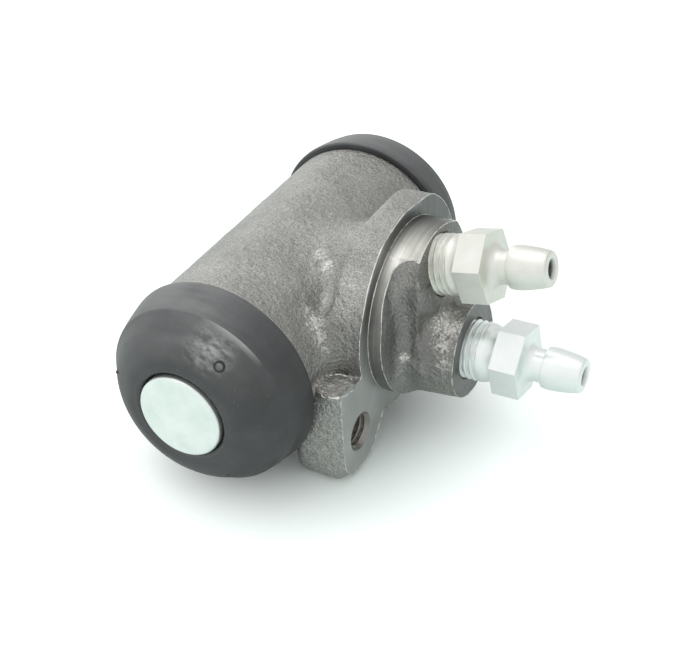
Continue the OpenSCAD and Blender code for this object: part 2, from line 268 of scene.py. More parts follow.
def boss_field(p, face, axis, reach, stock, k):
    """A drafted boss that ends some stock past its face, with its edge rounded by k."""
    q = p - face
    along = q @ axis
    across = np.sqrt(np.maximum((q * q).sum(1) - along * along, 0))
    side = (across - BOSS_R + np.minimum(along, 0) * math.tan(BOSS_DRAFT)) * math.cos(BOSS_DRAFT)
    return np.maximum(smax(side, along - stock, k), -along - reach)


def cast_field(p):
    """The casting before machining."""
    x, y, z = p[:, 0], p[:, 1], p[:, 2]
    barrel = smax(np.hypot(x - BORE_X, z - BORE_Z) - BARREL_R, np.abs(y) - SHOULDER, 0.8)
    around = np.hypot(y, z)
    slope = (NECK_R - NECK_ROOT_R) / (-BORE_X - FLANGE_T)
    neck = (around - NECK_ROOT_R - slope * (x - BORE_X)) / math.hypot(1, slope)
    neck = np.maximum(neck, np.maximum(BORE_X - x, x + 1))
    rim = np.hypot(y - FLANGE_SHIFT, z) - FLANGE_R
    rim = smax(rim, z - FLANGE_TOP, 1.6)
    rim = smax(rim, -FLANGE_FOOT - z, 1.2)
    flange = smax(rim, -FLANGE_T - x, 0.9)
    flange = np.maximum(flange, x - SPIGOT_H)
    body = smin(barrel, neck, NECK_BLEND)
    body = smin(body, flange, 2.6 + 3.4 * np.clip((9.0 - z) / 5.0, 0, 1))
    # The ears, which are the same at both ends, and the gate on the near one
    near = np.abs(y)
    ear = np.full(len(p), 1e3)
    mirrored = np.stack([x, -near, z], 1)
    close = (near > 2) & (z < 2) & (x > -15)
    if close.any():
        ear[close] = (mirrored[close] @ EAR_N.T - EAR_D).max(1)
    body = smin(body, ear, EAR_BLEND)
    gate = np.hypot((x - GATE[0]) / GATE_SIZE[0], (y - GATE[1]) / GATE_SIZE[1]) - 1
    body = smin(body, np.maximum(2.5 * gate, np.abs(z - GATE[2]) - 0.5), 0.5)
    # The port bosses and the fluted web between them, with a small step at the mould's parting plane
    stock = -0.08 + 3.0 * np.clip(z - UPPER_CUT_Z, 0, 1)
    upper = boss_field(p, UPPER_FACE, UPPER_AXIS, 8.0, stock, 2.2)
    lower = boss_field(p, LOWER_FACE, LOWER_AXIS, 12.0, 1.5, 0.1)
    web = np.maximum(np.abs(y) - BOSS_R, np.maximum(-6.0 - z, z - 9.0))
    fade = np.clip((z - PART_Z) / 1.0, 0, 1) * np.clip(x - 2, 0, 1) * np.clip((8.6 - x) / 1.5, 0, 1)
    flute = 0.13 * np.cos((x - 4.4) * 2 * np.pi / 4.8) * fade
    web = np.maximum(web, np.maximum(x - WEB_REACH, -x))
    block = smin(smin(upper, lower, BOSS_BLEND), web, BOSS_BLEND) + flute
    block = block + np.where(z < PART_Z, 0.0, 0.14)
    body = smin(body, block, BLOCK_BLEND)
    seat = np.maximum(np.hypot(x - BORE_X, z - BORE_Z) - SEAT_R, np.abs(y) - BARREL_END)
    return np.minimum(body, seat)


def gradient(field, p, e=0.03):
    out = np.empty_like(p)
    for axis in range(3):
        step = np.zeros(3)
        step[axis] = e
        out[:, axis] = (field(p + step) - field(p - step)) / (2 * e)
    return out


def surface_net(field, low, high, step):
    """Quads on the zero level of a field, with their points moved onto it."""
    axes = [np.arange(a, b + step, step) for a, b in zip(low, high)]
    shape = tuple(len(a) for a in axes)
    grid = np.stack(np.meshgrid(*axes, indexing="ij"), -1).reshape(-1, 3)
    values = np.concatenate([field(part) for part in np.array_split(grid, 12)]).reshape(shape)
    cells = tuple(n - 1 for n in shape)
    size = cells[0] * cells[1] * cells[2]
    total, count, quads = np.zeros((size, 3)), np.zeros(size), []
    for axis in range(3):
        first = [slice(None)] * 3
        second = [slice(None)] * 3
        first[axis], second[axis] = slice(0, -1), slice(1, None)
        lo, hi = values[tuple(first)], values[tuple(second)]
        index = np.stack(np.nonzero((lo < 0) != (hi < 0)), 1)
        a = lo[tuple(index.T)]
        b = hi[tuple(index.T)]
        point = index.astype(float)
        point[:, axis] += a / (a - b)
        u, v = (axis + 1) % 3, (axis + 2) % 3
        corner = []
        for du, dv in ((0, 0), (-1, 0), (-1, -1), (0, -1)):
            cell = index.copy()
            cell[:, u] += du
            cell[:, v] += dv
            flat = np.ravel_multi_index(tuple(cell.T), cells)
            for k in range(3):
                total[:, k] += np.bincount(flat, point[:, k], size)
            count += np.bincount(flat, minlength=size)
            corner.append(flat)
        quad = np.stack(corner, 1)
        quad[a > 0] = quad[a > 0][:, ::-1]
        quads.append(quad)
    used = np.nonzero(count)[0]
    verts = total[used] / count[used][:, None] * step + np.array(low)
    renumber = np.full(size, -1)
    renumber[used] = np.arange(len(used))
    for _ in range(3):
        g = gradient(field, verts)
        move = g * (field(verts) / np.maximum((g * g).sum(1), 0.2))[:, None]
        length = np.linalg.norm(move, axis=1)
        verts -= move * np.minimum(1, 0.5 * step / np.maximum(length, 1e-9))[:, None]
    return verts, renumber[np.concatenate(quads)]


# The casting

def torn_amount(p):
    """1 where the gate was broken off, up to 0.4 on the spots of painted glints, and 0 elsewhere."""
    gate = np.hypot((p[:, 0] - GATE[0]) / GATE_SIZE[0], (p[:, 1] - GATE[1]) / GATE_SIZE[1])
    out = np.clip((1.15 - gate) / 0.3, 0, 1) * (np.abs(p[:, 2] - GATE[2]) < 1.0)
    for centre, inner, outer in GLINT_SPOTS:
        far = np.linalg.norm(p - np.array(centre), axis=1)
        out = np.maximum(out, 0.4 * np.clip((outer - far) / (outer - inner), 0, 1))
    return out


def cast_mesh():
    """The casting's surface with its grain, which leaves the boots' seats smooth."""
    step = 0.4
    verts, quads = surface_net(cast_field, (-38.4, -30, -22), (14, 30, 17.6), step)
    g = gradient(cast_field, verts)
    g /= np.maximum(np.linalg.norm(g, axis=1), 1e-9)[:, None]
    torn = torn_amount(verts)
    grain = np.empty(len(verts))
    for i, p in enumerate(verts):
        coarse = noise.noise(Vector(p * 0.35))
        fine = noise.noise(Vector(p * 1.1 + 7.0))
        grain[i] = 0.05 * coarse + 0.045 * fine + 0.22 * torn[i] * (noise.noise(Vector(p * 1.7 + 3.0)) + 0.1)
    inside = np.abs(verts[:, 1]) < SHOULDER - 0.6
    verts = verts + g * (grain * inside)[:, None]
    return make_object("casting", verts, quads.tolist())


def ring_cutter():
    """Removes what stands past the mounting face outside the spigot."""
    out, far = 60.0, 40.0
    profile = [(SPIGOT_R, 0.0), (out, 0.0), (out, far), (SPIGOT_R, far)]
    verts, faces = lathe(profile, 256, closed=True)
    return make_object("cut_ring", place(verts, axes_matrix((0, 0, 0), (1, 0, 0), (0, 1, 0))), faces)


def disc_cutter(name, face, axis, r):
    verts, faces = lathe([(0, 0), (r, 0), (r, 12), (0, 12)], 96)
    return make_object(name, place(verts, axes_matrix(face, axis, (0, 1, 0))), faces)


def upper_face_cutter():
    """Cuts the upper half of the upper boss's face. The lower half is left as cast."""
    r, low, far = 9.2, (UPPER_CUT_Z - UPPER_FACE[2]) / UPPER_AXIS[0], 12.0
    end = math.asin(low / r)
    angles = np.linspace(end, math.pi - end, 64)
    outline = [(r * math.cos(a), r * math.sin(a)) for a in angles]
    n = len(outline)
    verts = [(u, v, 0.0) for u, v in outline] + [(u, v, far) for u, v in outline]
    faces = [tuple(range(n - 1, -1, -1)), tuple(range(n, 2 * n))]
    faces += [(i, (i + 1) % n, n + (i + 1) % n, n + i) for i in range(n)]
    return make_object("cut_upper", place(verts, axes_matrix(UPPER_FACE, UPPER_AXIS, (0, 1, 0))), faces)


def port_cutter(name, face, axis):
    hole, mouth = THREAD_R + 0.1, THREAD_R + 0.35
    verts, faces = lathe([(0, -15), (1.5, -15), (1.5, -11.5), (hole, -9.0), (hole, -0.3), (mouth, 0.0),
                          (mouth, 3.0), (0, 3.0)], 96)
    return make_object(name, place(verts, axes_matrix(face, axis, (0, 1, 0))), faces)


def tapped_hole_cutter(name, y):
    """A blind M6 hole with its thread, and the countersink at its mouth."""
    pitch, minor, major, depth, sink_r = 1.0, 2.5, 3.0, 9.0, 3.3

    def radius(a, h):
        turn = ((h - a * pitch / (2 * np.pi)) / pitch) % 1.0
        tooth = np.clip(np.abs(turn - 0.5) * 2.6 - 0.15, 0, 1)
        r = minor + (major - minor) * tooth
        r = np.where(h < -depth + 1.0, minor, r)
        return np.maximum(r, np.minimum(sink_r, minor + (h + (sink_r - minor))))

    heights = np.concatenate([[-depth], np.arange(-depth + 0.08, 0.0, 0.08), [0.0, 1.0]])
    verts, faces = turned_field(radius, heights, 72, bottom=-depth - 1.4, top=1.0)
    return make_object(name, place(verts, axes_matrix((0, y, HOLE_Z), (1, 0, 0), (0, 1, 0))), faces)


def bore_cutter():
    wide = BORE_R + 0.8
    verts, faces = lathe([(0, -31), (wide, -31), (wide, -29), (BORE_R, -28.2), (BORE_R, 28.2), (wide, 29),
                          (wide, 31), (0, 31)], 128)
    where = axes_matrix((BORE_X, 0, BORE_Z), (0, 1, 0), (1, 0, 0))
    return make_object("cut_bore", place(verts, where), faces)


def casting():
    obj = cast_mesh()
    cutters = [ring_cutter(), upper_face_cutter(), disc_cutter("cut_lower", LOWER_FACE, LOWER_AXIS, 11.0),
               port_cutter("cut_upper_port", UPPER_FACE, UPPER_AXIS),
               port_cutter("cut_lower_port", LOWER_FACE, LOWER_AXIS),
               tapped_hole_cutter("cut_left_hole", -HOLE_Y), tapped_hole_cutter("cut_right_hole", HOLE_Y),
               bore_cutter()]
    boolean(obj, cutters)
    return obj


def paint_casting(obj, materials):
    """Gives machined, turned, drilled and faced surfaces their own materials."""
    mesh = obj.data
    mesh.materials.clear()
    for m in materials:
        mesh.materials.append(m)
    n = len(mesh.polygons)
    centre, normal = np.empty(n * 3), np.empty(n * 3)
    mesh.polygons.foreach_get("center", centre)
    mesh.polygons.foreach_get("normal", normal)
    c, nm = centre.reshape(-1, 3) / MM, normal.reshape(-1, 3)
    index = np.full(n, CAST, np.int32)
    around = np.hypot(c[:, 1], c[:, 2])
    index[(np.abs(c[:, 0]) < 0.02) & (nm[:, 0] > 0.99)] = MACHINED
    index[(np.abs(around - SPIGOT_R) < 0.02) & (c[:, 0] > 0.005) & (np.abs(nm[:, 0]) < 0.05)] = TURNED
    for face, axis in ((UPPER_FACE, UPPER_AXIS), (LOWER_FACE, LOWER_AXIS)):
        q = c - face
        along = q @ axis
        across = np.sqrt(np.maximum((q * q).sum(1) - along ** 2, 0))
        if face is LOWER_FACE:
            index[(np.abs(along) < 0.02) & (nm @ axis > 0.99)] = FACED
        index[(across < THREAD_R + 0.62) & (along < -0.01) & (along > -16)] = DRILLED
    for y in (-HOLE_Y, HOLE_Y):
        across = np.hypot(c[:, 1] - y, c[:, 2] - HOLE_Z)
        index[(across < 3.4) & (c[:, 0] < -0.01) & (c[:, 0] > -10.8)] = DRILLED
    index[np.hypot(c[:, 0] - BORE_X, c[:, 2] - BORE_Z) < BORE_R + 0.85] = DRILLED
    mesh.polygons.foreach_set("material_index", index)


# Burrs along the machined edges

def boundary_paths(mesh):
    """Chains of points along the sharp edges between cast, machined, turned and faced surfaces."""
    bm = bmesh.new()
    bm.from_mesh(mesh)
    links = {}
    for e in bm.edges:
        if len(e.link_faces) != 2:
            continue
        a, b = (f.material_index for f in e.link_faces)
        flat = e.link_faces[0].normal.dot(e.link_faces[1].normal) > 0.95
        if a != b and DRILLED not in (a, b) and not flat:
            u, v = (w.index for w in e.verts)
            links.setdefault(u, []).append(v)
            links.setdefault(v, []).append(u)
    bm.verts.ensure_lookup_table()
    where = {i: np.array(bm.verts[i].co) / MM for i in links}
    bm.free()
    paths, used = [], set()
    starts = sorted(links, key=lambda i: (len(links[i]) == 2, i))
    for start in starts:
        for step in links[start]:
            if (start, step) in used:
                continue
            chain, last, now = [start], start, step
            while True:
                used.update(((last, now), (now, last)))
                chain.append(now)
                ahead = [k for k in links[now] if (now, k) not in used]
                if now == start or len(links[now]) != 2 or not ahead:
                    break
                last, now = now, ahead[0]
            paths.append((np.array([where[i] for i in chain]), chain[0] == chain[-1]))
    return [even_path(p, closed) for p, closed in paths if len(p) > 12]


def even_path(points, closed, spacing=0.35):
    """A smoothed path of even steps, whether it is closed, and its burr's thin and thick radius."""
    length = np.concatenate([[0], np.cumsum(np.linalg.norm(np.diff(points, axis=0), axis=1))])
    count = max(int(length[-1] / spacing), 3)
    at = np.linspace(0, length[-1], count + 1)
    even = np.stack([np.interp(at, length, points[:, k]) for k in range(3)], 1)
    even[1:-1] = (even[:-2] + 2 * even[1:-1] + even[2:]) / 4
    return (even[:-1] if closed else even), closed, 0.06, 0.06


def gate_rim():
    """The torn rim round the broken gate on the near ear."""
    points = []
    for a in np.linspace(0, 2 * np.pi, 72, endpoint=False):
        wave = 1 + 0.10 * noise.noise(Vector((3 * math.cos(a), 3 * math.sin(a), 4.0)))
        x = GATE[0] + GATE_SIZE[0] * wave * math.cos(a)
        y = GATE[1] + GATE_SIZE[1] * wave * math.sin(a)
        points.append((x, y, GATE[2] + 0.38 + 0.2 * noise.noise(Vector((2 * x, 2 * y, 1.0)))))
    return [(np.array(points), True, 0.09, 0.34)]


def burr_lines(name, paths):
    """Thin broken ridges along paths, thicker and thinner by noise."""
    curve = bpy.data.curves.new(name, "CURVE")
    curve.dimensions = "3D"
    curve.bevel_depth = MM
    curve.bevel_resolution = 1
    curve.use_fill_caps = True
    for points, closed, thin, thick in paths:
        spline = curve.splines.new("POLY")
        spline.points.add(len(points) - 1)
        spline.use_cyclic_u = closed
        for target, p in zip(spline.points, points):
            target.co = (*(p * MM), 1)
            swell = 1 + 0.9 * max(0.0, 1 - np.linalg.norm(p - np.array(HIGHLIGHT_EDGE)) / 8.0)
            target.radius = swell * (thin + thick * max(0.0, noise.noise(Vector(p * 0.9 + 11.0)) + 0.1))
    rope = bpy.data.objects.new(name + "_curve", curve)
    bpy.context.scene.collection.objects.link(rope)
    bpy.context.view_layer.update()
    mesh = bpy.data.meshes.new_from_object(rope.evaluated_get(bpy.context.evaluated_depsgraph_get()))
    bpy.data.objects.remove(rope)
    bpy.data.curves.remove(curve)
    mesh.name = name
    mesh.materials.clear()
    obj = bpy.data.objects.new(name, mesh)
    bpy.context.scene.collection.objects.link(obj)
    return obj


# Materials

class Nodes:
    """A material's node tree, with short calls to add and join nodes."""

    def __init__(self, name):
        self.material = bpy.data.materials.new(name)
        self.material.use_nodes = True
        self.tree = self.material.node_tree
        self.shader = self.tree.nodes["Principled BSDF"]
        self.coords = self.add("ShaderNodeTexCoord").outputs["Object"]

    def add(self, kind, **values):
        node = self.tree.nodes.new(kind)
        for key, value in values.items():
            setattr(node, key, value)
        return node

    def join(self, source, target):
        self.tree.links.new(source, target)

    def noise(self, scale, detail=3.0, rough=0.55, stretch=None, turn=0.0):
        """Noise, drawn out by stretch along axes that may be turned about y."""
        node = self.add("ShaderNodeTexNoise")
        node.inputs["Scale"].default_value = scale
        node.inputs["Detail"].default_value = detail
        node.inputs["Roughness"].default_value = rough
        source = self.coords
        if stretch is not None:
            mapping = self.add("ShaderNodeMapping", vector_type="TEXTURE")
            mapping.inputs["Rotation"].default_value = (0, math.radians(turn), 0)
            mapping.inputs["Scale"].default_value = [1 / v for v in stretch]
            self.join(self.coords, mapping.inputs["Vector"])
            source = mapping.outputs["Vector"]
        self.join(source, node.inputs["Vector"])
        return node.outputs["Fac"]

    def away(self, centre, reach, values):
        """A value that changes with the distance from a point, between two distances in millimetres."""
        far = self.add("ShaderNodeVectorMath", operation="DISTANCE")
        self.join(self.coords, far.inputs[0])
        far.inputs[1].default_value = [v * MM for v in centre]
        node = self.add("ShaderNodeMapRange")
        limits = (reach[0] * MM, reach[1] * MM, *values)
        for key, value in zip(("From Min", "From Max", "To Min", "To Max"), limits):
            node.inputs[key].default_value = value
        self.join(far.outputs["Value"], node.inputs["Value"])
        return node.outputs["Result"]

    def spot(self, centre, inner, outer):
        """1 inside the inner distance from a point, 0 outside the outer one."""
        return self.away(centre, (inner, outer), (1.0, 0.0))

    def facing(self, axis, low, high):
        """0 to 1 as the surface turns from one slope to another, along a world axis."""
        parts = self.add("ShaderNodeSeparateXYZ")
        self.join(self.add("ShaderNodeNewGeometry").outputs["Normal"], parts.inputs[0])
        node = self.add("ShaderNodeMapRange")
        node.inputs["From Min"].default_value = low
        node.inputs["From Max"].default_value = high
        self.join(parts.outputs[axis], node.inputs["Value"])
        return node.outputs["Result"]

    def along(self, axis, low, high):
        """0 to 1 between two places along an axis, in millimetres."""
        parts = self.add("ShaderNodeSeparateXYZ")
        self.join(self.coords, parts.inputs[0])
        node = self.add("ShaderNodeMapRange")
        node.inputs["From Min"].default_value = low * MM
        node.inputs["From Max"].default_value = high * MM
        self.join(parts.outputs[axis], node.inputs["Value"])
        return node.outputs["Result"]

    def ramp(self, source, stops):
        node = self.add("ShaderNodeValToRGB")
        elements = node.color_ramp.elements
        while len(elements) < len(stops):
            elements.new(0.5)
        for element, (position, value) in zip(elements, stops):
            element.position = position
            colour = value if isinstance(value, tuple) else (value, value, value)
            element.color = (*colour, 1)
        self.join(source, node.inputs["Fac"])
        return node.outputs["Color"]

    def mix(self, factor, a, b, blend="MIX"):
        # A colour mix has its factor at input 0, its colours at 6 and 7, and its result at output 2.
        node = self.add("ShaderNodeMix", data_type="RGBA", blend_type=blend)
        for value, key in ((factor, 0), (a, 6), (b, 7)):
            socket = node.inputs[key]
            if isinstance(value, bpy.types.NodeSocket):
                self.join(value, socket)
            elif key == 0:
                socket.default_value = value
            else:
                socket.default_value = (*value, 1)
        return node.outputs[2]

    def math(self, operation, a, b):
        node = self.add("ShaderNodeMath", operation=operation)
        for value, socket in ((a, node.inputs[0]), (b, node.inputs[1])):
            if isinstance(value, bpy.types.NodeSocket):
                self.join(value, socket)
            else:
                socket.default_value = value
        return node.outputs[0]

    def bump(self, height, distance, strength):
        node = self.add("ShaderNodeBump")
        node.inputs["Distance"].default_value = distance
        node.inputs["Strength"].default_value = strength
        self.join(height, node.inputs["Height"])
        return node.outputs["Normal"]

    def set(self, **values):
        for key, value in values.items():
            socket = self.shader.inputs[key.replace("_", " ")]
            if isinstance(value, bpy.types.NodeSocket):
                self.join(value, socket)
            elif isinstance(value, tuple):
                socket.default_value = (*value, 1)
            else:
                socket.default_value = value
        return self.material


def cast_iron():
    """Rough grey iron, with painted shade on the port block and in a hollow by the flange, and painted glints
    in places.
    """
    m = Nodes("cast_iron")
    fine = m.noise(4200, 1.0, 0.5)
    grain = m.noise(1700, 2.0, 0.55)
    lumps = m.noise(640, 2.0, 0.5)
    patch = m.noise(120, 3.0, 0.55)
    tone = m.ramp(patch, [(0.32, (0.335, 0.333, 0.317)), (0.7, (0.44, 0.436, 0.414))])
    # Painted light: the iron made paler at the lit spots.
    for centre, inner, outer in LIT_SPOTS:
        tone = m.mix(m.math("MULTIPLY", m.spot(centre, inner, outer), 0.6), tone, (0.60, 0.595, 0.57))
    speck = m.ramp(fine, [(0.34, 0.60), (0.62, 1.0)])
    colour = m.mix(1.0, tone, speck, "MULTIPLY")
    # Painted shade: the iron darkened at the shade spots.
    for centre, inner, outer in SHADE_SPOTS:
        shade_mask = m.math("MULTIPLY", m.spot(centre, inner, outer), m.ramp(patch, [(0.3, 0.56), (0.7, 0.44)]))
        colour = m.mix(shade_mask, colour, (0.14, 0.138, 0.132))
    # Painted glints: bright flecks on the glint spots, standing in for light caught on the rough iron.
    glint_mask = None
    for centre, inner, outer in GLINT_SPOTS:
        spot = m.spot(centre, inner, outer)
        glint_mask = spot if glint_mask is None else m.math("MAXIMUM", glint_mask, spot)
    glints = m.math("ADD", m.noise(2300, 3.0, 0.7), m.math("MULTIPLY", glint_mask, 0.25))
    glints = m.ramp(glints, [(0.60, 0.0), (0.84, 0.8)])
    glints = m.math("MULTIPLY", glints, m.ramp(glint_mask, [(0.05, 0.0), (0.4, 1.0)]))
    colour = m.mix(glints, colour, (0.80, 0.79, 0.75))
    rough = m.ramp(grain, [(0.32, 0.30), (0.68, 0.50)])
    height = m.math("ADD", m.math("MULTIPLY", grain, 0.7), m.math("MULTIPLY", fine, 0.2))
    height = m.math("ADD", height, m.math("MULTIPLY", lumps, 0.9))
    return m.set(Base_Color=colour, Metallic=0.72, Roughness=rough, Normal=m.bump(height, 0.00036, 0.85))


def burr_highlight_iron():
    """Iron along a burr: bright crystals in a dark ground, partly real bare metal and partly a painted
    highlight along the edges.
    """
    m = Nodes("burr_highlight_iron")
    grain = m.noise(900, 2.0, 0.6)
    colour = m.ramp(grain, [(0.36, (0.31, 0.305, 0.29)), (0.56, (0.80, 0.79, 0.75))])
    # Painted highlight: the burrs made brighter still near the flange's near top edge.
    colour = m.mix(m.math("MULTIPLY", m.spot(HIGHLIGHT_EDGE, 4.0, 8.0), 0.7), colour, (0.93, 0.92, 0.88))
    rough = m.ramp(grain, [(0.35, 0.45), (0.6, 0.26)])
    return m.set(Base_Color=colour, Metallic=0.85, Roughness=rough, Normal=m.bump(grain, 0.0003, 0.9))


def machined_iron():
    """The mounting face, with painted shade round the spigot's upper part and at the far top."""
    m = Nodes("machined_iron")
    broad = m.noise(160, 3.0, 0.6)
    lines = m.noise(900, 2.0, 0.5, (0.15, 1.0, 0.15))
    colour = m.ramp(broad, [(0.3, (0.405, 0.415, 0.405)), (0.7, (0.51, 0.522, 0.512))])
    # Painted shade: the face darkened beside the spigot's wall, above its lower part, and at the far top.
    face_shade = m.math("MULTIPLY", m.spot((0, 0, 0), 16.0, 18.4), m.along("Z", -3.0, 6.0))
    face_shade = m.math("MAXIMUM", face_shade, m.spot((0, 12, 13), 6.0, 11.0))
    colour = m.mix(face_shade, colour, (0.15, 0.155, 0.15))
    rough = m.ramp(lines, [(0.3, 0.36), (0.7, 0.48)])
    return m.set(Base_Color=colour, Metallic=0.8, Roughness=rough, Normal=m.bump(lines, 0.00004, 0.6))


def turned_iron():
    """The spigot's wall: with painted light near the top and a painted glint, and painted shade below and on
    the far side.
    """
    m = Nodes("turned_iron")
    broad = m.noise(140, 3.0, 0.6)
    lines = m.noise(1500, 2.0, 0.5, (1.0, 0.04, 0.04))
    shaded_tone = m.ramp(broad, [(0.3, (0.22, 0.216, 0.206)), (0.7, (0.31, 0.305, 0.29))])
    lit_tone = m.ramp(broad, [(0.3, (0.42, 0.42, 0.385)), (0.7, (0.56, 0.555, 0.515))])
    # Painted light and shade: the wall paler round the upper near part, with a painted glint, and darker on
    # the far side.
    colour = m.mix(m.spot((3, -6, 14), 5.5, 12.0), shaded_tone, lit_tone)
    colour = m.mix(m.spot((0.8, -7.5, 12.7), 0.8, 4.0), colour, (0.92, 0.91, 0.86))
    colour = m.mix(m.along("Y", -4.0, 4.0), colour, (0.19, 0.187, 0.178))
    colour = m.mix(1.0, colour, m.ramp(lines, [(0.35, 0.74), (0.65, 1.0)]), "MULTIPLY")
    rough = m.ramp(lines, [(0.3, 0.34), (0.7, 0.46)])
    return m.set(Base_Color=colour, Metallic=0.85, Roughness=rough, Normal=m.bump(lines, 0.00004, 0.6))


def faced_iron():
    """The lower boss's face: dark and slightly uneven."""
    m = Nodes("faced_iron")
    broad = m.noise(220, 3.0, 0.6)
    colour = m.ramp(broad, [(0.3, (0.17, 0.172, 0.168)), (0.7, (0.24, 0.243, 0.237))])
    rough = m.ramp(m.noise(1400, 2.0, 0.5), [(0.3, 0.34), (0.7, 0.46)])
    return m.set(Base_Color=colour, Metallic=0.8, Roughness=rough, Normal=m.bump(broad, 0.00005, 0.5))


def drilled_iron():
    m = Nodes("drilled_iron")
    broad = m.noise(200, 3.0, 0.6)
    colour = m.ramp(broad, [(0.3, (0.22, 0.205, 0.19)), (0.7, (0.34, 0.32, 0.30))])
    return m.set(Base_Color=colour, Metallic=0.85, Roughness=0.34)


def rubber(name, dark, light):
    m = Nodes(name)
    broad = m.noise(90, 4.0, 0.65)
    fine = m.noise(1800, 3.0, 0.6)
    colour = m.ramp(broad, [(0.3, dark), (0.72, light)])
    rough = m.ramp(broad, [(0.3, 0.40), (0.7, 0.52)])
    normal = m.bump(fine, 0.00006, 0.5)
    return m.set(Base_Color=colour, Roughness=rough, Normal=normal, Specular_IOR_Level=0.45)


def boot_rubber_material():
    """Satin rubber with dust and painted light on top, less on its right side, mould rings, specks, and
    chalky scuffs on the near dome.
    """
    m = Nodes("boot_rubber")
    broad = m.noise(85, 3.0, 0.6)
    rings = m.noise(420, 2.0, 0.6, (0.16, 1.0, 0.16))
    fine = m.noise(2600, 2.0, 0.6)
    base = m.ramp(broad, [(0.3, (0.040, 0.041, 0.043)), (0.72, (0.066, 0.068, 0.071))])
    # Dust and painted light: upward-facing surfaces paler, and kept darker where they face right, as painted
    # shade.
    dust_and_toplight = m.math("MULTIPLY", m.facing("Z", 0.1, 1.0), m.ramp(rings, [(0.3, 0.35), (0.7, 0.85)]))
    dust_and_toplight = m.math("MULTIPLY", dust_and_toplight, m.facing("X", 0.95, 0.15))
    colour = m.mix(dust_and_toplight, base, (0.22, 0.225, 0.227))
    mottle = m.ramp(m.noise(330, 3.0, 0.65), [(0.3, 0.84), (0.7, 1.0)])
    colour = m.mix(1.0, colour, mottle, "MULTIPLY")
    cloud = m.noise(1000, 4.0, 0.65, (0.5, 1.0, 1.0), 28.4)
    dome = m.facing("Y", -0.35, -0.55)
    scuff = m.spot((-15.8, -34.3, 8.7), 0.3, 4.8)
    scuff = m.math("MULTIPLY", scuff, m.ramp(cloud, [(0.40, 0.0), (0.68, 0.9)]))
    colour = m.mix(m.math("MULTIPLY", scuff, dome), colour, (0.50, 0.505, 0.50))
    # Painted highlight: a pale band on the dome just under the crease, near the scuffs.
    crease_highlight = m.math("MULTIPLY", m.spot((-13.4, -31.5, 9.4), 2.0, 6.0), m.along("Y", -32.2, -31.5))
    colour = m.mix(m.math("MULTIPLY", crease_highlight, dome), colour, (0.34, 0.345, 0.345))
    # Painted shade: the mould mark's groove darkened.
    pin = m.math("SUBTRACT", m.spot(MOULD_MARK, 0.86, 1.0), m.spot(MOULD_MARK, 0.48, 0.62))
    colour = m.mix(m.math("MULTIPLY", pin, 0.8), colour, (0.015, 0.015, 0.016))
    dust = m.ramp(fine, [(0.70, 0.0), (0.78, 0.5)])
    colour = m.mix(dust, colour, (0.24, 0.245, 0.245))
    rough = m.ramp(rings, [(0.3, 0.34), (0.7, 0.50)])
    normal = m.bump(rings, 0.00008, 0.5)
    return m.set(Base_Color=colour, Roughness=rough, Normal=normal, Specular_IOR_Level=0.5)


def plated(name, dark, light, rough_low, rough_high, metal=1.0, shaded_mouth=None):
    """Bright metal, with painted shade inside a mouth where one is given."""
    m = Nodes(name)
    broad = m.noise(260, 4.0, 0.6)
    fine = m.noise(1500, 3.0, 0.6)
    colour = m.ramp(broad, [(0.3, dark), (0.7, light)])
    if shaded_mouth is not None:
        colour = m.mix(m.spot(shaded_mouth, 1.25, 1.8), colour, (0.34, 0.345, 0.34))
    rough = m.ramp(fine, [(0.3, rough_low), (0.7, rough_high)])
    return m.set(Base_Color=colour, Metallic=metal, Roughness=rough, Normal=m.bump(fine, 0.00002, 0.4))


# Boots

def arc_points(centre, r, start, end, count):
    angles = np.radians(np.linspace(start, end, count))
    return [(centre[0] + r * math.cos(a), centre[1] + r * math.sin(a)) for a in angles]


def curve_points(points, count):
    """A smooth Catmull-Rom curve through points."""
    p = np.array([points[0]] + list(points) + [points[-1]], float)
    out = []
    for i in range(1, len(p) - 2):
        for t in np.linspace(0, 1, count, endpoint=False):
            a, b, c, d = p[i - 1], p[i], p[i + 1], p[i + 2]
            out.append(tuple(0.5 * (2 * b + (c - a) * t + (2 * a - 5 * b + 4 * c - d) * t ** 2
                                    + (3 * b - a - 3 * c + d) * t ** 3)))
    out.append(tuple(p[-2]))
    return out


def boot(name, side):
    """A dust boot: skirt, crease, dome and lip outside, then back along the inside."""
    rim_y = SHOULDER + 0.05
    outer = arc_points((16.5, rim_y + 0.5), 0.5, 270, 360, 5)
    outer += curve_points([(17.0, rim_y + 0.9), (16.76, 27.2), (16.35, 29.3), (15.99, 30.8),
                           (15.84, 31.32)], 6)
    outer += [(15.8, 31.42)]
    outer += curve_points([(15.72, 31.52), (15.2, 32.15), (14.65, 32.88), (13.75, 34.02), (12.3, 35.33),
                           (10.6, 36.36), (9.5, 36.74), (8.6, 36.8)], 6)
    outer += arc_points((8.25, 36.06), 0.78, 78, 180, 10)
    inner = [(7.5, 35.4), (8.7, 33.9), (10.6, 33.1), (12.4, 32.0), (13.4, 31.1), (13.4, 29.06),
             (14.66, 29.06), (14.66, rim_y)]
    verts, faces = lathe(outer + inner, 192, closed=True)
    where = axes_matrix((BORE_X, 0, BORE_Z), (0, side, 0), (1, 0, 0))
    obj = make_object(name, place(verts, where), faces)
    if side < 0:
        boolean(obj, flash_nubs(), "UNION")
        boolean(obj, [mould_mark()])
    return obj


def mould_mark():
    """Cuts the ring that a mould pin left on the near boot."""
    ring = [(0.74 + 0.17 * math.cos(a), 0.17 * math.sin(a)) for a in np.radians(range(0, 360, 30))]
    verts, faces = lathe(ring, 40, closed=True)
    return make_object("mark", place(verts, axes_matrix(MOULD_MARK, (0.42, -0.73, 0.54), (1, 0, 0))), faces)


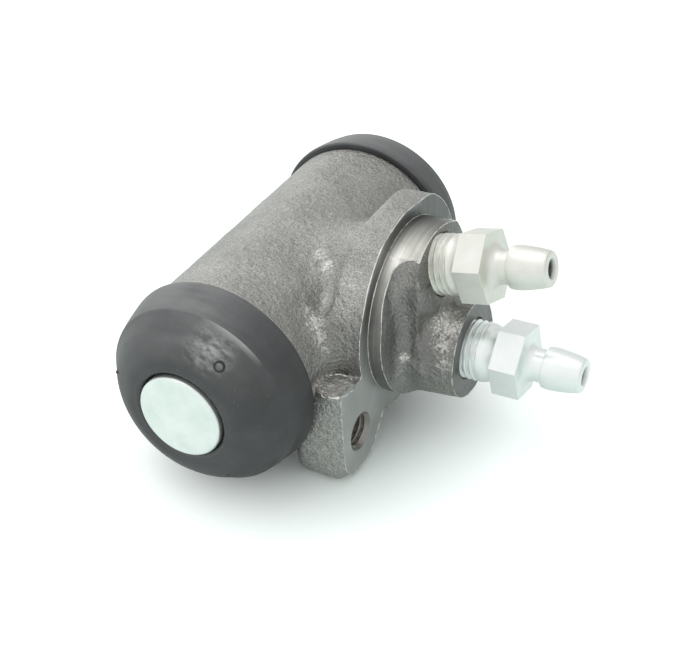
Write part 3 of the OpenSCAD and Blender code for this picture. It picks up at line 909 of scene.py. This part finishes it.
def flash_nubs():
    """Two specks of flash on the near boot's dome."""
    nubs = []
    for spot in ((-34.35, -34.4, -0.95), (-15.35, -34.75, -15.45)):
        verts, faces = lathe([(0, -0.35), (0.26, -0.2), (0.32, 0.0), (0.24, 0.13), (0, 0.2)], 16)
        out = np.array(spot) - np.array((BORE_X, -33.0, BORE_Z))
        nubs.append(make_object("nub", place(verts, axes_matrix(spot, out, (0, 1, 0.1))), faces))
    return nubs


# Pistons

def piston(name, side):
    """A piston with a nose through the boot, whose end is slightly hollow."""
    r, edge, inner, step, tip, nose = 11.06, 0.5, 12.5, 24.8, 37.4, 7.2
    profile = [(0, inner), (r - edge, inner), (r, inner + edge), (r, step - edge), (r - edge, step),
               (nose + 0.2, step), (nose, step + 0.2)]
    profile += [(nose, h) for h in np.linspace(step + 1, tip - 0.6, 8)]
    profile += arc_points((nose - 0.45, tip - 0.45), 0.45, 0, 90, 6)
    profile += [(nose - 0.6, tip - 0.015), (3.0, tip - 0.03), (0, tip - 0.035)]
    verts, faces = lathe(profile, 128)
    where = axes_matrix((BORE_X, 0, BORE_Z), (0, side, 0), (1, 0, 0))
    return make_object(name, place(verts, where), faces)


# Return spring

def spring_half(name, side):
    """Half of the return spring, from the middle of the bore to an expander, and its reach."""
    wire_r, coil_r, turns, steps, around = 0.55, 5.3, 2.5, 96, 14
    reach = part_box("return_spring")[1][1] / MM - wire_r
    share = np.linspace(0, 1, steps + 1)
    angle = 2 * np.pi * turns * share * side
    along = reach * side * (share * 1.2 - 0.2 * share ** 6)
    path = np.stack([coil_r * np.cos(angle), along, coil_r * np.sin(angle)], 1)
    heading = np.gradient(path, axis=0)
    heading /= np.linalg.norm(heading, axis=1)[:, None]
    out = np.stack([np.cos(angle), 0 * angle, np.sin(angle)], 1)
    over = np.cross(heading, out)
    turn = np.linspace(0, 2 * np.pi, around, endpoint=False)
    round_out = np.cos(turn)[None, :, None] * out[:, None]
    round_over = np.sin(turn)[None, :, None] * over[:, None]
    rings = path[:, None] + wire_r * (round_out + round_over)
    faces = [tuple(range(around - 1, -1, -1)), tuple(range(steps * around, (steps + 1) * around))]
    for k in range(steps):
        for i in range(around):
            j = (i + 1) % around
            faces.append((k * around + i, k * around + j, (k + 1) * around + j, (k + 1) * around + i))
    verts = rings.reshape(-1, 3) + np.array((BORE_X, 0, BORE_Z))
    return make_object(name, verts, faces), reach


# Bleed screws

def bleed_screw(name, face, axis, show, turn, waist):
    """A screw about its own z, with the back of its hexagon at z = 0."""
    hex_r, hex_len = 11 / math.sqrt(3), 4.6
    tip = hex_len + 9.4
    pitch, root = 1.0, 4.5

    def shank_r(a, h):
        phase = ((h - a * pitch / (2 * np.pi)) / pitch) % 1.0
        tooth = np.clip(np.abs(phase - 0.5) * 2.8 - 0.2, 0, 1)
        thread = root + (THREAD_R - root) * tooth
        plain = np.interp(h / waist, [0.0, 0.16, 0.36, 0.6, 0.8, 1.0], [4.0, 4.2, 4.46, 4.76, 4.9, 4.94])
        fade = np.clip((waist - h) / 0.4 + 0.3, 0, 1)
        return thread * fade + plain * (1 - fade)

    heights = np.concatenate([np.arange(-11.0, waist + 0.4, 0.09), np.arange(waist + 0.5, 0.0, 0.18),
                              [0.0, 0.4]])
    shank_v, shank_f = turned_field(shank_r, heights, 96, bottom=-11.0, top=0.4)
    shank = make_object(name, shank_v, shank_f)
    cone_v, cone_f = lathe([(0, -16), (0.9, -16), (3.1, -13.6), (3.6, -13.1), (3.6, -10.9), (0, -10.9)], 64)
    cone = make_object(name + "_cone", cone_v, cone_f)
    sixths = [math.radians(60 * i) for i in range(6)]
    corners = [(hex_r * math.cos(a), hex_r * math.sin(a)) for a in sixths]
    prism_v = [(x, y, 0.0) for x, y in corners] + [(x, y, hex_len) for x, y in corners]
    prism_f = [tuple(range(5, -1, -1)), tuple(range(6, 12))]
    prism_f += [(i, (i + 1) % 6, 6 + (i + 1) % 6, 6 + i) for i in range(6)]
    prism = make_object(name + "_hex", prism_v, prism_f)
    edge = prism.modifiers.new("edge", "BEVEL")
    edge.width = 0.09 * MM
    edge.segments = 2
    edge.limit_method = "NONE"
    bpy.context.view_layer.update()
    apply_modifiers(prism)
    neck, flare, step = 2.75, 1.6, hex_len + 3.0
    profile = [(0, hex_len - 0.4), (neck + flare, hex_len - 0.4)]
    profile += arc_points((neck + flare, hex_len + flare), flare, 270, 180, 9)
    profile += [(neck, step - 0.08), (neck + 0.04, step - 0.02), (3.3, step), (3.36, step + 0.03)]
    profile += curve_points([(3.4, step + 0.09), (3.48, step + 0.7), (3.5, step + 1.5), (3.45, step + 2.4),
                             (3.2, tip - 2.0), (2.92, tip - 0.55)], 5)
    profile += arc_points((2.4, tip - 0.5), 0.5, 0, 90, 6)
    profile += [(1.7, tip), (1.6, tip - 0.08), (1.2, tip - 0.8), (1.2, hex_len + 0.5), (0, hex_len + 0.5)]
    nipple_v, nipple_f = lathe(profile, 96)
    nipple = make_object(name + "_nipple", nipple_v, nipple_f)
    boolean(shank, [cone, prism, nipple], "UNION")
    turn_matrix = axes_matrix(face + axis * show, axis, (0, 1, 0))
    spin = math.radians(turn)
    flat = np.array([[math.cos(spin), -math.sin(spin), 0], [math.sin(spin), math.cos(spin), 0], [0, 0, 1]])
    matrix = Matrix((turn_matrix[0] @ flat).tolist()).to_4x4()
    matrix.translation = Vector(turn_matrix[1] * MM)
    shank.data.transform(matrix)
    return shank


# Build

boot_rubber = boot_rubber_material()
cup_rubber = rubber("cup_rubber", (0.012, 0.012, 0.012), (0.022, 0.022, 0.022))
zinc_disc = plated("zinc_disc", (0.80, 0.88, 0.84), (0.93, 0.98, 0.955), 0.36, 0.48, 0.9)
# Lit and shaded copies of one plating: the lower screw's is painted paler, as painted light in the upper
# one's shade, and the upper's is painted darker under the key light. Their warm and bluish tints are their
# own.
zinc_warm = plated("zinc_warm", (0.75, 0.76, 0.70), (0.84, 0.845, 0.795), 0.36, 0.48, 0.85, UPPER_MOUTH)
zinc_blue = plated("zinc_blue", (0.87, 0.92, 0.905), (0.935, 0.972, 0.966), 0.28, 0.40, 0.85, LOWER_MOUTH)
spring_steel = plated("spring_steel", (0.40, 0.41, 0.43), (0.52, 0.53, 0.55), 0.28, 0.42)

body = casting()
paint_casting(body, (cast_iron(), machined_iron(), turned_iron(), drilled_iron(), faced_iron()))
shade(body, 40)
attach(body, "housing")
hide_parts("cylinder_body")

burrs = burr_lines("edge_burrs", boundary_paths(body.data) + gate_rim())
one_material(burrs, burr_highlight_iron())
shade(burrs, 60)
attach(burrs, "housing")

for side, label in ((-1, "left"), (1, "right")):
    cover = boot(label + "_boot", side)
    one_material(cover, boot_rubber)
    shade(cover, 40)
    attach(cover, "housing")
    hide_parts(label + "_dust_boot")
    plunger = piston(label + "_plunger", side)
    one_material(plunger, zinc_disc)
    shade(plunger, 30)
    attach(plunger, label + "_piston_group")
    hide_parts(label + "_piston")
    for node, material in (("_cup_seal", cup_rubber), ("_cup_expander", spring_steel)):
        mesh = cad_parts[label + node].data
        mesh.materials.clear()
        mesh.materials.append(material)

# Each screw's port, its hexagon's height above that and turn, the end of its thread, and its plating
screws = (("upper", UPPER_FACE, UPPER_AXIS, 4.5, 40.6, -1.9, zinc_warm),
          ("lower", LOWER_FACE, LOWER_AXIS, 5.2, 45.9, -2.6, zinc_blue))
for label, face, axis, show, turn, waist, material in screws:
    screw = bleed_screw(label + "_bleeder", face, axis, show, turn, waist)
    one_material(screw, material)
    shade(screw, 30)
    flats = screw.modifiers.new("flats", "WEIGHTED_NORMAL")
    flats.keep_sharp = True
    bpy.context.view_layer.update()
    apply_modifiers(screw)
    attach(screw, label + "_screw")
    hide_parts(label + "_bleed_screw")

for side, label in ((-1, "left"), (1, "right")):
    coil, reach = spring_half(label + "_spring_half", side)
    one_material(coil, spring_steel)
    shade(coil, 60)
    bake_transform(coil)
    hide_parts("return_spring")


# Stage, light and camera

def floor_material():
    """A pale floor that looks brighter to the camera away from the object, with painted shade round the
    object, and keeps its shadow.
    """
    m = Nodes("floor_white")
    tree = m.tree
    tree.nodes.remove(m.shader)
    out = tree.nodes["Material Output"]
    diffuse = m.add("ShaderNodeBsdfDiffuse")
    diffuse.inputs["Color"].default_value = (0.82, 0.90, 0.87, 1)
    glow = m.add("ShaderNodeEmission")
    glow.inputs["Color"].default_value = (0.97, 0.98, 0.98, 1)
    path = m.add("ShaderNodeLightPath")
    mirrored = m.math("MULTIPLY", path.outputs["Is Glossy Ray"], 0.15)
    seen = m.math("MAXIMUM", path.outputs["Is Camera Ray"],
                  m.math("MAXIMUM", mirrored, path.outputs["Is Transmission Ray"]))
    # Painted shade: the glow is weaker near the object, so the floor is darker round it.
    strength = m.away((-10, -12, FLOOR_Z), (12, 32), (0.06, 0.40))
    m.join(m.math("MULTIPLY", seen, strength), glow.inputs["Strength"])
    both = m.add("ShaderNodeAddShader")
    m.join(diffuse.outputs[0], both.inputs[0])
    m.join(glow.outputs[0], both.inputs[1])
    m.join(both.outputs[0], out.inputs["Surface"])
    return m.material


half = 900.0
floor = make_object("floor", [(-half, -half, FLOOR_Z), (half, -half, FLOOR_Z), (half, half, FLOOR_Z),
                              (-half, half, FLOOR_Z)], [(0, 1, 2, 3)])
floor.data.materials.append(floor_material())

# The sky is brightest up and to the near left. The camera sees plain white, and reflections partly do.
world = bpy.data.worlds.new("studio")
bpy.context.scene.world = world
world.use_nodes = True
sky = world.node_tree
background = sky.nodes["Background"]
background.inputs["Color"].default_value = (1, 1, 1, 1)
heading = sky.nodes.new("ShaderNodeTexCoord")
toward = sky.nodes.new("ShaderNodeVectorMath")
toward.operation = "DOT_PRODUCT"
toward.inputs[1].default_value = (-0.35, -0.55, 0.76)
fade = sky.nodes.new("ShaderNodeMapRange")
for key, value in (("From Min", -1.0), ("From Max", 1.0), ("To Min", 0.35), ("To Max", 1.05)):
    fade.inputs[key].default_value = value
sky.links.new(heading.outputs["Generated"], toward.inputs[0])
sky.links.new(toward.outputs["Value"], fade.inputs["Value"])
sky.links.new(fade.outputs["Result"], background.inputs["Strength"])
white = sky.nodes.new("ShaderNodeBackground")
white.inputs["Color"].default_value = (1, 1, 1, 1)
white.inputs["Strength"].default_value = 1.0
path = sky.nodes.new("ShaderNodeLightPath")
choose = sky.nodes.new("ShaderNodeMixShader")
partly = sky.nodes.new("ShaderNodeMath")
partly.operation = "MULTIPLY_ADD"
partly.inputs[1].default_value = 0.3
sky.links.new(path.outputs["Is Glossy Ray"], partly.inputs[0])
either = sky.nodes.new("ShaderNodeMath")
either.operation = "MAXIMUM"
sky.links.new(path.outputs["Is Camera Ray"], either.inputs[0])
sky.links.new(path.outputs["Is Transmission Ray"], either.inputs[1])
sky.links.new(either.outputs[0], partly.inputs[2])
partly.use_clamp = True
sky.links.new(partly.outputs[0], choose.inputs[0])
sky.links.new(background.outputs[0], choose.inputs[1])
sky.links.new(white.outputs[0], choose.inputs[2])
sky.links.new(choose.outputs[0], sky.nodes["World Output"].inputs["Surface"])


def softbox(name, position, target, size, power):
    light = bpy.data.lights.new(name, "AREA")
    light.shape = "RECTANGLE"
    light.size, light.size_y = size[0] * MM, size[1] * MM
    light.energy = power
    obj = bpy.data.objects.new(name, light)
    obj.location = Vector(position) * MM
    aim = (Vector(target) - Vector(position)).normalized()
    obj.rotation_euler = aim.to_track_quat("-Z", "Y").to_euler()
    bpy.context.scene.collection.objects.link(obj)


softbox("key", (-120, 60, 520), (-15, 0, 0), (420, 420), 0.5)
softbox("rim", (-420, 330, 200), (-15, 0, 0), (340, 300), 0.35)

# The camera stands where the photograph was taken from.
camera = bpy.data.cameras.new("camera")
camera.sensor_fit = "HORIZONTAL"
camera.sensor_width = 36.0
camera.lens = 71.81
camera.clip_start = 0.01
viewer = bpy.data.objects.new("camera", camera)
right, up, back = (0.8819, 0.4681, -0.0566), (-0.2264, 0.5256, 0.8201), (0.4136, -0.7104, 0.5695)
pose = Matrix((right, up, back)).transposed().to_4x4()
pose.translation = Vector((83.49, -166.48, 123.47)) * MM
viewer.matrix_world = pose
bpy.context.scene.collection.objects.link(viewer)
bpy.context.scene.camera = viewer

bpy.context.scene.view_settings.view_transform = "Standard"
